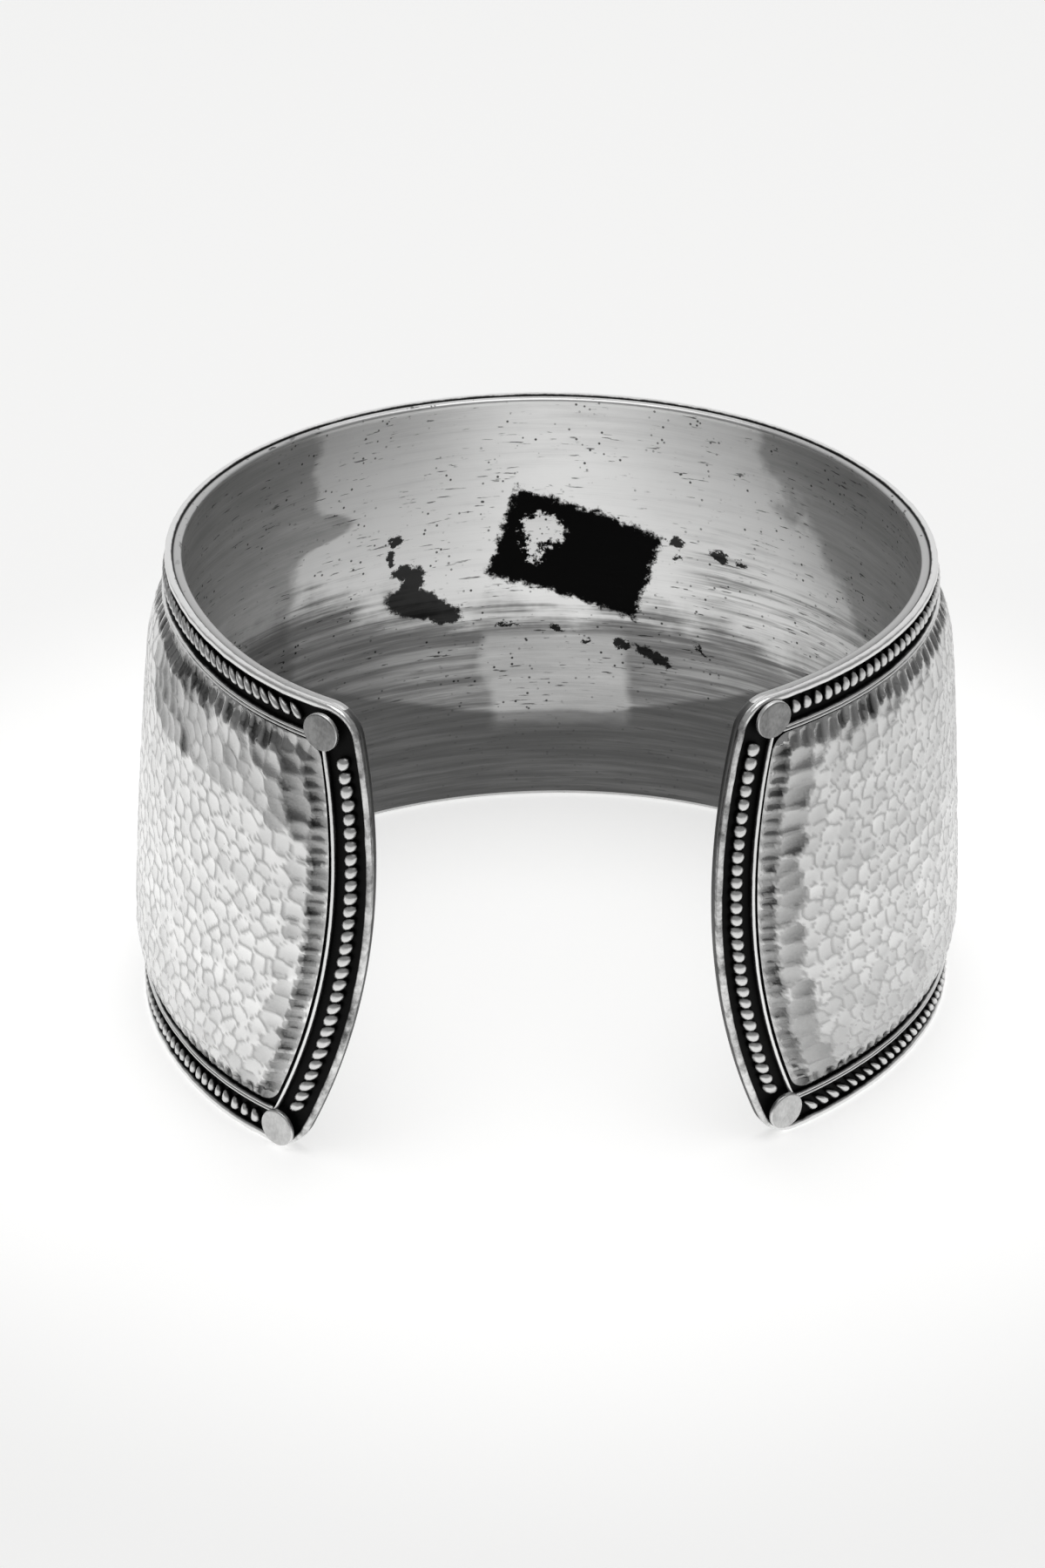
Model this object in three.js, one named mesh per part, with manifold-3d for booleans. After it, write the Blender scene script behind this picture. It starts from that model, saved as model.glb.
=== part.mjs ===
// A wide open cuff bracelet that stands on its lower rim. Millimetres, +Z up.
// The gap between the two ends faces -Y, and the back of the wrist hollow is at +Y.
// The wall is described flat first, as (along, height): along is the length round the wall
// from the middle of the back, negative on the left, and height is the height above the lower rim.
import * as THREE from 'three';
import Module from 'manifold-3d';

const wasm = await Module();
wasm.setup();

// The oval that the upper rim follows, seen from above, and how the wall leaves it.
const ovalHalfLength = 32.5;
const ovalHalfDepth = 27.4;
const ovalBackFullness = 0.5;
const ovalSideFullness = 2.3;
const ovalShoulder = 2.2;
const ovalSkew = -0.65;
const ovalTurn = 24.7;
const lowerRimLengthRatio = 1.1;
const lowerRimDepthRatio = 1.03;
const lowerRimForward = 0.5;
const cuffHeight = 39.4;
const wallBulge = 0.45;

// The two ends, as turns round the oval in degrees from its back, and how far they bow out.
const leftEndUpperTurn = 134.5;
const leftEndLowerTurn = 128;
const rightEndUpperTurn = 176.5;
const rightEndLowerTurn = 172.5;
const endBow = 3.9;
const cornerRadius = 2.2;

// The border: a raised rim all round, a channel that holds the beading, and a thin inner wire.
const sheetThickness = 0.8;
const rimWidth = 0.55;
const rimRise = 0.55;
const rimLip = 0.1;
const rimChamfer = 0.15;
const endChannelWidth = 2.45;
const rimChannelWidth = 2.2;
const wireWidth = 0.4;
const wireRise = 0.55;
const solderDepth = 0.3;

// The hammered panel inside the wire.
const panelSideGap = 0.3;
const panelSeatGap = 0.2;
const panelEdgeRise = 0.45;
const panelRise = 1.35;
const panelThickness = 0.6;
const panelShoulder = 4.5;
const panelCornerRadius = 1.2;
const dentDepth = 0.1;

// The beading that lies in the channel.
const beadPitch = 1.08;
const beadWidth = 1.15;
const beadRise = 0.65;
const beadSeatGap = 0.15;
const beadNeckRatio = 0.55;
const beadTopRatio = 0.5;
const beadDiscGap = 0.4;
const rimRowInset = 1.5;
const endRowInset = 1.75;

// The flat studs on the four corners.
const discRadius = 1.55;
const discThickness = 0.45;
const discBevel = 0.15;
const discSeatGap = 0.15;
const discPostRadius = 0.45;
const discSides = 20;
const upperDiscEndInset = 2.7;
const upperDiscRimInset = 1.8;
const lowerDiscEndInset = 2.12;
const lowerDiscRimInset = 1.95;

// How finely the curved shapes are divided, and how far the table of turns goes past the ends.
const wallSteps = 46;
const wallRows = 5;
const endSteps = 12;
const cornerSteps = 3;
const panelSteps = 46;
const panelRows = 10;
const arcTableSteps = 400;
const arcTableMargin = 20;
const tangentTurn = 0.001;

const silver = new THREE.MeshStandardMaterial({ color: 0xb9b8b6, roughness: 0.38, metalness: 1 });
const hammeredSilver = new THREE.MeshStandardMaterial({ color: 0xcfcecb, roughness: 0.3, metalness: 1 });
const beadSilver = new THREE.MeshStandardMaterial({ color: 0xa9a8a5, roughness: 0.42, metalness: 1 });
const discSilver = new THREE.MeshStandardMaterial({ color: 0xc2c1bf, roughness: 0.45, metalness: 1 });

const toRadians = THREE.MathUtils.degToRad;
const cuff = new THREE.Group();

// A point of the upper rim's oval, before it is turned, at a turn in radians from its back.
function ovalPoint(turn) {
  const across = ovalHalfLength * Math.sin(turn) + ovalSideFullness * Math.sin(3 * turn);
  const back = ovalHalfDepth * Math.cos(turn) + ovalBackFullness * Math.cos(2 * turn);
  const deep = back + ovalShoulder * Math.cos(3 * turn) + ovalSkew * Math.sin(2 * turn);
  return new THREE.Vector2(across, deep);
}

// A point of the wall's plan at a level from 0 (lower rim) to 1 (upper rim), turned into place.
function planPoint(turn, level) {
  const point = ovalPoint(turn);
  point.x *= THREE.MathUtils.lerp(lowerRimLengthRatio, 1, level);
  point.y *= THREE.MathUtils.lerp(lowerRimDepthRatio, 1, level);
  point.rotateAround(new THREE.Vector2(0, 0), toRadians(ovalTurn));
  point.y -= lowerRimForward * (1 - level);
  return point;
}

// The length along the plan at half height, from the back, for a table of turns.
const firstTurn = -toRadians(Math.max(leftEndUpperTurn, leftEndLowerTurn) + arcTableMargin);
const lastTurn = toRadians(Math.max(rightEndUpperTurn, rightEndLowerTurn) + arcTableMargin);
const arcTable = [];
let tableLength = 0;
let lastPoint = planPoint(firstTurn, 0.5);
for (let i = 0; i <= arcTableSteps; i += 1) {
  const turn = THREE.MathUtils.lerp(firstTurn, lastTurn, i / arcTableSteps);
  const point = planPoint(turn, 0.5);
  tableLength += point.distanceTo(lastPoint);
  arcTable.push({ turn, length: tableLength });
  lastPoint = point;
}

function interpolate(table, from, to, value) {
  let i = 1;
  while (i < table.length - 1 && table[i][from] < value) {
    i += 1;
  }
  const share = (value - table[i - 1][from]) / (table[i][from] - table[i - 1][from]);
  return THREE.MathUtils.lerp(table[i - 1][to], table[i][to], share);
}

const backLength = interpolate(arcTable, 'turn', 'length', 0);
const alongAtTurn = (turn) => interpolate(arcTable, 'turn', 'length', turn) - backLength;
const turnAtAlong = (along) => interpolate(arcTable, 'length', 'turn', along + backLength);

// A point in space for a flat point of the wall, standing off its outer face by offset.
function wallPoint(along, height, offset) {
  const level = height / cuffHeight;
  const turn = turnAtAlong(along);
  const point = planPoint(turn, level);
  const before = planPoint(turn - tangentTurn, level);
  const ahead = planPoint(turn + tangentTurn, level).sub(before).normalize();
  const reach = offset + wallBulge * (1 - (2 * level - 1) ** 2);
  return new THREE.Vector3(point.x - ahead.y * reach, point.y + ahead.x * reach, height);
}

// Where an end edge lies at a height: on an arc through its two corners, bowed into the gap.
function makeEnd(side, upperTurn, lowerTurn) {
  const upper = side * alongAtTurn(side * toRadians(upperTurn));
  const lower = side * alongAtTurn(side * toRadians(lowerTurn));
  const centreHeight = cuffHeight / 2;
  const radius = (centreHeight ** 2 + endBow ** 2) / (2 * endBow);
  const centreAlong = (upper + lower) / 2 + endBow - radius;
  const lean = (upper - lower) / cuffHeight;
  return (height, inset) => {
    const rise = height - centreHeight;
    return side * (centreAlong + lean * rise + Math.sqrt((radius - inset) ** 2 - rise ** 2));
  };
}
const leftEnd = makeEnd(-1, leftEndUpperTurn, leftEndLowerTurn);
const rightEnd = makeEnd(1, rightEndUpperTurn, rightEndLowerTurn);

// A border line set in from the wall's edge: its two ends, its heights and its rounded corners.
function makeBorder(endInset, rimInset, radius) {
  const low = rimInset;
  const high = cuffHeight - rimInset;
  const cornerCut = (height) => {
    const toEdge = Math.min(height - low, high - height);
    return toEdge >= radius ? 0 : radius - Math.sqrt(radius ** 2 - (radius - toEdge) ** 2);
  };
  return {
    low,
    high,
    radius,
    left: (height) => leftEnd(height, endInset) + cornerCut(height),
    right: (height) => rightEnd(height, endInset) - cornerCut(height),
  };
}

// The heights at which a border's ends are cut: the rounded corners, and even steps between them.
function endHeights(border, steps) {
  const heights = [];
  for (let i = 0; i < cornerSteps; i += 1) {
    heights.push(border.low + border.radius * (1 - Math.cos((i / cornerSteps) * Math.PI / 2)));
  }
  for (let i = 0; i <= steps; i += 1) {
    const share = i / steps;
    heights.push(THREE.MathUtils.lerp(border.low + border.radius, border.high - border.radius, share));
  }
  for (let i = cornerSteps - 1; i >= 0; i -= 1) {
    heights.push(border.high - border.radius * (1 - Math.cos((i / cornerSteps) * Math.PI / 2)));
  }
  return heights;
}

// The closed line of a border, as flat points, anticlockwise from the lower left corner.
function borderLoop(border) {
  const loop = [];
  const heights = endHeights(border, endSteps);
  const addRun = (from, to, height) => {
    for (let i = 0; i < wallSteps; i += 1) {
      loop.push([THREE.MathUtils.lerp(from(height), to(height), i / wallSteps), height]);
    }
  };
  addRun(border.left, border.right, border.low);
  heights.slice(0, -1).forEach((height) => loop.push([border.right(height), height]));
  addRun(border.right, border.left, border.high);
  heights.slice(1).reverse().forEach((height) => loop.push([border.left(height), height]));
  return loop;
}

// A closed geometry from points in space and triangles between them.
function makeGeometry(points, triangles) {
  const geometry = new THREE.BufferGeometry();
  const positions = new Float32Array(points.flatMap((point) => point.toArray()));
  geometry.setAttribute('position', new THREE.BufferAttribute(positions, 3));
  geometry.setIndex(triangles);
  return geometry;
}

// Two triangles on each cell of a grid of points, whose rows and columns may wrap round.
function gridTriangles(rowCount, columnCount, wrapRows, wrapColumns, start, flip) {
  const triangles = [];
  for (let row = 0; row < rowCount - (wrapRows ? 0 : 1); row += 1) {
    for (let column = 0; column < columnCount - (wrapColumns ? 0 : 1); column += 1) {
      const nextRow = (row + 1) % rowCount;
      const nextColumn = (column + 1) % columnCount;
      const a = start + row * columnCount + column;
      const b = start + row * columnCount + nextColumn;
      const c = start + nextRow * columnCount + nextColumn;
      const d = start + nextRow * columnCount + column;
      triangles.push(...(flip ? [a, c, b, a, d, c] : [a, b, c, a, c, d]));
    }
  }
  return triangles;
}

// A closed sheet between two faces that follow the wall inside a border.
function sheetGeometry(border, steps, rows, innerOffset, outerOffset) {
  const heights = endHeights(border, rows);
  const rowLength = steps + 1;
  const points = [];
  [innerOffset, outerOffset].forEach((offsetAt) => {
    heights.forEach((height) => {
      for (let i = 0; i < rowLength; i += 1) {
        const along = THREE.MathUtils.lerp(border.left(height), border.right(height), i / steps);
        points.push(wallPoint(along, height, offsetAt(along, height)));
      }
    });
  });
  const outer = heights.length * rowLength;
  const triangles = gridTriangles(heights.length, rowLength, false, false, outer, true);
  triangles.push(...gridTriangles(heights.length, rowLength, false, false, 0, false));
  const edge = [];
  for (let i = 0; i < steps; i += 1) {
    edge.push(i);
  }
  for (let row = 0; row < heights.length - 1; row += 1) {
    edge.push(row * rowLength + steps);
  }
  for (let i = steps; i > 0; i -= 1) {
    edge.push((heights.length - 1) * rowLength + i);
  }
  for (let row = heights.length - 1; row > 0; row -= 1) {
    edge.push(row * rowLength);
  }
  edge.forEach((point, i) => {
    const next = edge[(i + 1) % edge.length];
    triangles.push(point, outer + next, next, point, outer + point, outer + next);
  });
  return makeGeometry(points, triangles);
}

// A closed ring whose section is a list of [border, offset] corners, swept round the wall.
function ringGeometry(section) {
  const points = [];
  section.forEach(([border, offset]) => {
    borderLoop(border).forEach(([along, height]) => points.push(wallPoint(along, height, offset)));
  });
  const loopLength = points.length / section.length;
  return makeGeometry(points, gridTriangles(section.length, loopLength, true, true, 0, true));
}

function toSolid(geometry) {
  return new wasm.Manifold(new wasm.Mesh({
    numProp: 3,
    vertProperties: geometry.getAttribute('position').array,
    triVerts: new Uint32Array(geometry.getIndex().array),
  }));
}

function fromSolid(solid) {
  const mesh = solid.getMesh();
  const geometry = new THREE.BufferGeometry();
  geometry.setAttribute('position', new THREE.BufferAttribute(mesh.vertProperties, 3));
  geometry.setIndex(new THREE.BufferAttribute(mesh.triVerts, 1));
  return geometry;
}

function addPiece(name, geometry, material) {
  const mesh = new THREE.Mesh(geometry, material);
  mesh.name = name;
  cuff.add(mesh);
}

// The band: the plain inner sheet, with the rim and the inner wire soldered to it.
const wireEndInset = rimWidth + endChannelWidth;
const wireRimInset = rimWidth + rimChannelWidth;
const outerBorder = makeBorder(0, 0, cornerRadius);
const chamferBorder = makeBorder(rimChamfer, rimChamfer, cornerRadius - rimChamfer);
const rimInnerBorder = makeBorder(rimWidth, rimWidth, cornerRadius - rimWidth);
const sheetBorder = makeBorder(rimWidth / 2, rimWidth / 2, cornerRadius - rimWidth / 2);
const wireRadius = panelCornerRadius + panelSideGap + wireWidth;
const wireOuterBorder = makeBorder(wireEndInset, wireRimInset, wireRadius);
const wireInnerEnd = wireEndInset + wireWidth;
const wireInnerRim = wireRimInset + wireWidth;
const wireInnerBorder = makeBorder(wireInnerEnd, wireInnerRim, wireRadius - wireWidth);
const rimInside = -sheetThickness - rimLip;

function bandGeometry() {
  const sheet = sheetGeometry(sheetBorder, wallSteps, wallRows, () => -sheetThickness, () => 0);
  const rim = ringGeometry([
    [outerBorder, rimInside],
    [outerBorder, rimRise - rimChamfer],
    [chamferBorder, rimRise],
    [rimInnerBorder, rimRise],
    [rimInnerBorder, rimInside],
  ]);
  const wire = ringGeometry([
    [wireOuterBorder, -solderDepth],
    [wireOuterBorder, wireRise],
    [wireInnerBorder, wireRise],
    [wireInnerBorder, -solderDepth],
  ]);
  return fromSolid(toSolid(sheet).add(toSolid(rim)).add(toSolid(wire)));
}
addPiece('band', bandGeometry(), silver);

// The hammered panel: a domed sheet whose edge dips beside the wire, with shallow dents all over.
const panelEndInset = wireInnerEnd + panelSideGap;
const panelRimInset = wireInnerRim + panelSideGap;
const panelBorder = makeBorder(panelEndInset, panelRimInset, panelCornerRadius);

// An uneven but repeatable number from 0 to 1 for a place on the wall.
function scatter(along, height) {
  const wave = Math.sin(along * 12.9898 + height * 78.233) * 43758.5453;
  return wave - Math.floor(wave);
}

// How far the panel has risen into its dome, from 0 at its edge to 1 past its shoulder.
function panelDome(along, height) {
  const fromEnds = Math.min(along - panelBorder.left(height), panelBorder.right(height) - along);
  const fromRims = Math.min(height - panelBorder.low, panelBorder.high - height);
  const shoulder = THREE.MathUtils.clamp(Math.min(fromEnds, fromRims) / panelShoulder, 0, 1);
  return 1 - (1 - shoulder) ** 2;
}

function panelInside(along, height) {
  return THREE.MathUtils.lerp(panelSeatGap, panelRise - panelThickness, panelDome(along, height));
}

function panelOutside(along, height) {
  const dome = panelDome(along, height);
  return THREE.MathUtils.lerp(panelEdgeRise, panelRise, dome) - dentDepth * dome * scatter(along, height);
}
const panel = sheetGeometry(panelBorder, panelSteps, panelRows, panelInside, panelOutside);
addPiece('hammered_panel', panel, hammeredSilver);

// A row of beads on one wire, along a flat path given by a share from 0 to 1. The section's width
// runs along the flat direction across.
function beadingGeometry(pathAt, length, across) {
  const beadCount = Math.round(length / beadPitch);
  const sectionCount = beadCount * 2 + 1;
  const base = beadSeatGap;
  const points = [];
  for (let i = 0; i < sectionCount; i += 1) {
    const share = i / (sectionCount - 1);
    const size = i % 2 === 0 ? beadNeckRatio : 1;
    const half = (beadWidth / 2) * size;
    const top = base + (beadRise - base) * size;
    const topHalf = half * beadTopRatio;
    const [along, height] = pathAt(share);
    const corners = [[-half, base], [half, base], [topHalf, top], [-topHalf, top]];
    corners.forEach(([out, offset]) => {
      points.push(wallPoint(along + across[0] * out, height + across[1] * out, offset));
    });
  }
  const cornerCount = points.length / sectionCount;
  const last = points.length - cornerCount;
  const triangles = gridTriangles(sectionCount, cornerCount, false, true, 0, false);
  triangles.push(0, 2, 1, 0, 3, 2, last, last + 1, last + 2, last, last + 2, last + 3);
  return makeGeometry(points, triangles);
}

// The flat place of a stud's middle.
function discPlace({ end, top }) {
  const height = top ? cuffHeight - upperDiscRimInset : lowerDiscRimInset;
  return { along: end(height, top ? upperDiscEndInset : lowerDiscEndInset), height };
}
const discPlaces = [
  { name: 'upper_left_disc', end: leftEnd, top: true },
  { name: 'upper_right_disc', end: rightEnd, top: true },
  { name: 'lower_left_disc', end: leftEnd, top: false },
  { name: 'lower_right_disc', end: rightEnd, top: false },
];
const rowEndGap = discRadius + beadDiscGap;

function addRimBeading(name, top) {
  const [left, right] = discPlaces.filter((place) => place.top === top).map(discPlace);
  const from = left.along + rowEndGap;
  const to = right.along - rowEndGap;
  const height = top ? cuffHeight - rimRowInset : rimRowInset;
  const pathAt = (share) => [THREE.MathUtils.lerp(from, to, share), height];
  addPiece(name, beadingGeometry(pathAt, to - from, [0, -1]), beadSilver);
}
addRimBeading('upper_beading', true);
addRimBeading('lower_beading', false);

function addEndBeading(name, end) {
  const [upper, lower] = discPlaces.filter((place) => place.end === end).map(discPlace);
  const low = lower.height + rowEndGap;
  const high = upper.height - rowEndGap;
  const pathAt = (share) => {
    const height = THREE.MathUtils.lerp(low, high, share);
    return [end(height, endRowInset), height];
  };
  addPiece(name, beadingGeometry(pathAt, high - low, [1, 0]), beadSilver);
}
addEndBeading('left_end_beading', leftEnd);
addEndBeading('right_end_beading', rightEnd);

// A flat bevelled stud over a corner of the border, on a short post that stands in the channel.
function discGeometry() {
  const under = Math.max(rimRise, wireRise) + discSeatGap;
  const top = under + discThickness;
  const profile = [
    new THREE.Vector2(0, beadSeatGap),
    new THREE.Vector2(discPostRadius, beadSeatGap),
    new THREE.Vector2(discPostRadius, under),
    new THREE.Vector2(discRadius, under),
    new THREE.Vector2(discRadius, top - discBevel),
    new THREE.Vector2(discRadius - discBevel, top),
    new THREE.Vector2(0, top),
  ];
  return new THREE.LatheGeometry(profile, discSides);
}

discPlaces.forEach((place) => {
  const { along, height } = discPlace(place);
  const ahead = wallPoint(along + discRadius, height, 0).sub(wallPoint(along - discRadius, height, 0));
  const up = wallPoint(along, height + discRadius, 0).sub(wallPoint(along, height - discRadius, 0));
  const mesh = new THREE.Mesh(discGeometry(), discSilver);
  mesh.name = place.name;
  mesh.position.copy(wallPoint(along, height, 0));
  mesh.quaternion.setFromUnitVectors(new THREE.Vector3(0, 1, 0), up.cross(ahead).normalize());
  cuff.add(mesh);
});

// The origin is under the middle of the whole cuff, on the surface that it stands on.
const middle = new THREE.Box3().setFromObject(cuff).getCenter(new THREE.Vector3());
cuff.position.set(-middle.x, -middle.y, 0);

export default cuff;
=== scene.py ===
import math
import random
from bisect import bisect_right

import bmesh
import bpy
from mathutils import Matrix, Vector, kdtree, noise


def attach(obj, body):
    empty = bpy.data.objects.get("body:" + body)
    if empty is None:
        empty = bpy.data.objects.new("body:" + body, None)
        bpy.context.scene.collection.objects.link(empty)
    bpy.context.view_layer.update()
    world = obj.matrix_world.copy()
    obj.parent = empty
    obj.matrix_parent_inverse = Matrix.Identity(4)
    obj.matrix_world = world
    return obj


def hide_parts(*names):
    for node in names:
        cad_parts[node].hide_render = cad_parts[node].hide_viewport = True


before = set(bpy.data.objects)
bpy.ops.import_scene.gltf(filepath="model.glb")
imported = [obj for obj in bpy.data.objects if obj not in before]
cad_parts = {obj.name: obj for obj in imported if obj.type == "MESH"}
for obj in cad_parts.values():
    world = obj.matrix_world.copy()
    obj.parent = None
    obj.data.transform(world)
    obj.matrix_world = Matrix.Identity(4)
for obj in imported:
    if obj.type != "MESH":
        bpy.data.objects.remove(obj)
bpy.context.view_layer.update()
scene = bpy.context.scene
mm = 0.001

# the camera looks into the gap from in front and above
cameraForm = {
    "target": (-2.209, -1.149, 17.877),
    "distance": 383.17,
    "elevation": 0.5139,
    "azimuth": 0.0006,
    "roll": 0.0079,
    "lens": 106.84,
    "sensorWidth": 36,
    "clipStart": 0.01,
}


def addCamera(form):
    azimuth = form["azimuth"]
    roll = form["roll"]
    level = math.cos(form["elevation"])
    rise = math.sin(form["elevation"])
    back = Vector((math.sin(azimuth) * level, -math.cos(azimuth) * level, rise))
    side = Vector((0, 0, 1)).cross(back).normalized()
    up = back.cross(side)
    turned = side * math.cos(roll) + up * math.sin(roll)
    risen = up * math.cos(roll) - side * math.sin(roll)
    data = bpy.data.cameras.new("viewCamera")
    data.lens = form["lens"]
    data.sensor_width = form["sensorWidth"]
    data.clip_start = form["clipStart"]
    camera = bpy.data.objects.new("viewCamera", data)
    turn = Matrix((turned, risen, back)).transposed().to_4x4()
    place = (Vector(form["target"]) + back * form["distance"]) * mm
    camera.matrix_world = Matrix.Translation(place) @ turn
    scene.collection.objects.link(camera)
    scene.camera = camera


addCamera(cameraForm)
print("camera placed")

# the wall in millimetres: the oval of the upper rim, how the lower rim leaves it, and the two ends
wallForm = {
    "halfLength": 32.5,
    "halfDepth": 27.4,
    "backFullness": 0.5,
    "sideFullness": 2.3,
    "shoulder": 2.2,
    "skew": -0.65,
    "turn": math.radians(24.7),
    "lowerLengthRatio": 1.1,
    "lowerDepthRatio": 1.03,
    "lowerForward": 0.5,
    "height": 39.4,
    "bulge": 0.45,
    "endTurns": {-1: (134.5, 128.0), 1: (176.5, 172.5)},     # each end's, at the upper and lower rim
    "endBow": 3.9,
    "shift": (0.1159, -1.1492),
    "tableTurns": (-160, 200),
    "tableSteps": 1400,
    "tableLevel": 0.5,      # lengths are measured halfway up
    "tangentTurn": 0.001,
    "halfStrip": 85.0,      # the flat strip is drawn this long either side of its middle
    "endZone": 8.0,         # this near an end, distances from it are true
}
cuffHeight = wallForm["height"]
middleHeight = cuffHeight / 2
halfStrip = wallForm["halfStrip"]
cosTurn = math.cos(wallForm["turn"])
sinTurn = math.sin(wallForm["turn"])


def planPoint(turn, level):
    x = wallForm["halfLength"] * math.sin(turn) + wallForm["sideFullness"] * math.sin(3 * turn)
    y = wallForm["halfDepth"] * math.cos(turn) + wallForm["backFullness"] * math.cos(2 * turn)
    y += wallForm["shoulder"] * math.cos(3 * turn) + wallForm["skew"] * math.sin(2 * turn)
    x *= wallForm["lowerLengthRatio"] + (1 - wallForm["lowerLengthRatio"]) * level
    y *= wallForm["lowerDepthRatio"] + (1 - wallForm["lowerDepthRatio"]) * level
    return x * cosTurn - y * sinTurn, x * sinTurn + y * cosTurn - wallForm["lowerForward"] * (1 - level)


def measureWall():
    first, last = [math.radians(turn) for turn in wallForm["tableTurns"]]
    steps = wallForm["tableSteps"]
    level = wallForm["tableLevel"]
    turns = [first + (last - first) * i / steps for i in range(steps + 1)]
    lengths = [0.0]
    for before, after in zip(turns, turns[1:]):
        a = planPoint(before, level)
        b = planPoint(after, level)
        lengths.append(lengths[-1] + math.hypot(b[0] - a[0], b[1] - a[1]))
    zero = interpolate(turns, lengths, 0.0)
    return turns, [length - zero for length in lengths]


def interpolate(keys, values, key):
    i = min(max(bisect_right(keys, key), 1), len(keys) - 1)
    share = (key - keys[i - 1]) / (keys[i] - keys[i - 1])
    return values[i - 1] + (values[i] - values[i - 1]) * share


wallTurns, wallLengths = measureWall()


def wallPoint(along, height, offset):
    level = height / cuffHeight
    turn = interpolate(wallLengths, wallTurns, along)
    x, y = planPoint(turn, level)
    ax, ay = planPoint(turn + wallForm["tangentTurn"], level)
    bx, by = planPoint(turn - wallForm["tangentTurn"], level)
    length = math.hypot(ax - bx, ay - by)
    reach = (offset + wallForm["bulge"] * (1 - (2 * level - 1) ** 2)) / length
    x += wallForm["shift"][0] - (ay - by) * reach
    y += wallForm["shift"][1] + (ax - bx) * reach
    return Vector((x, y, height)) * mm


def measureEnd(side):
    upper, lower = [
        side * interpolate(wallTurns, wallLengths, side * math.radians(turn))
        for turn in wallForm["endTurns"][side]
    ]
    bow = wallForm["endBow"]
    radius = (middleHeight ** 2 + bow ** 2) / (2 * bow)
    return (upper + lower) / 2 + bow - radius, (upper - lower) / cuffHeight, radius


endArcs = {side: measureEnd(side) for side in (-1, 1)}


def endAlong(side, height, inset):
    centre, lean, radius = endArcs[side]
    rise = height - middleHeight
    return side * (centre + lean * rise + math.sqrt((radius - inset) ** 2 - rise ** 2))


# a point of the straight flat strip, bent round the wrist: x from -halfStrip to halfStrip, y up
def flatAlong(x, y):
    zone = wallForm["endZone"]
    depth = halfStrip - abs(x)
    if depth < zone:
        return endAlong(-1 if x < 0 else 1, y, depth)
    share = (x + halfStrip - zone) / (2 * (halfStrip - zone))
    left = endAlong(-1, y, zone)
    return left + (endAlong(1, y, zone) - left) * share


def bend(x, y, offset):
    return wallPoint(flatAlong(x, y), y, offset)


# the corner square of a rectangle pulled onto a quarter disc, so that rings stay parallel
def roundCorner(x, y, endInset, rimInset, radius):
    qx = abs(x) - (halfStrip - endInset - radius)
    qy = abs(y - middleHeight) - (middleHeight - rimInset - radius)
    if qx > 0 and qy > 0:
        pull = max(qx, qy) / math.hypot(qx, qy)
        x = math.copysign(abs(x) - qx * (1 - pull), x)
        y = middleHeight + math.copysign(abs(y - middleHeight) - qy * (1 - pull), y - middleHeight)
    return x, y


# places from low to high: the given distances from each edge, and even steps between them
def spaced(low, high, edges, step):
    inner = high - low - 2 * edges[-1]
    count = round(inner / step)
    middle = [low + edges[-1] + inner * i / count for i in range(1, count)]
    return [low + edge for edge in edges] + middle + [high - edge for edge in reversed(edges)]


# a grid whose vertices stand at every column and row, put in place by a function that gives the
# point, its flat place in millimetres and the other values that the materials read, such as wear and
# painted light
def addGrid(bm, columns, rows, place, layerNames=("worn",)):
    flat = bm.verts.layers.float_vector.get("flat") or bm.verts.layers.float_vector.new("flat")
    floats = bm.verts.layers.float
    layers = [floats.get(name) or floats.new(name) for name in layerNames]
    made = bmesh.ops.create_grid(bm, x_segments=len(columns) - 1, y_segments=len(rows) - 1, size=1)
    for vert in made["verts"]:
        column = round((vert.co.x + 1) / 2 * (len(columns) - 1))
        row = round((vert.co.y + 1) / 2 * (len(rows) - 1))
        vert.co, vert[flat], *values = place(columns[column], rows[row])
        for layer, value in zip(layers, values):
            vert[layer] = value


weldDistance = 1e-7


def finishPiece(bm, name, material, node):
    bmesh.ops.recalc_face_normals(bm, faces=bm.faces)
    if bm.calc_volume(signed=True) < 0:
        bmesh.ops.reverse_faces(bm, faces=bm.faces)
    mesh = bpy.data.meshes.new(name)
    bm.to_mesh(mesh)
    bm.free()
    mesh.shade_smooth()
    piece = bpy.data.objects.new(name, mesh)
    scene.collection.objects.link(piece)
    mesh.materials.append(material)
    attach(piece, "root")
    if node:
        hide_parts(node)
    print(name, len(mesh.polygons), "faces")
    return piece


# a number that varies over a surface: sums and products of it add their Math nodes
class Varying:
    def __init__(self, finish, socket):
        self.finish = finish
        self.socket = socket

    def math(self, operation, *others):
        sockets = dict(enumerate((self, *others)))
        return self.finish.node("ShaderNodeMath", {"operation": operation}, sockets).value

    def __add__(self, other):
        return self.math("ADD", other)

    def __sub__(self, other):
        return self.math("SUBTRACT", other)

    def __rsub__(self, other):
        return self.finish.node("ShaderNodeMath", {"operation": "SUBTRACT"}, {0: other, 1: self}).value

    def __mul__(self, other):
        return self.math("MULTIPLY", other)

    __radd__ = __add__
    __rmul__ = __mul__

    def between(self, low, high):
        settings = {"interpolation_type": "SMOOTHSTEP", "clamp": True}
        sockets = {"Value": self, "From Min": low, "From Max": high}
        return self.finish.node("ShaderNodeMapRange", settings, sockets).value


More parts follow.
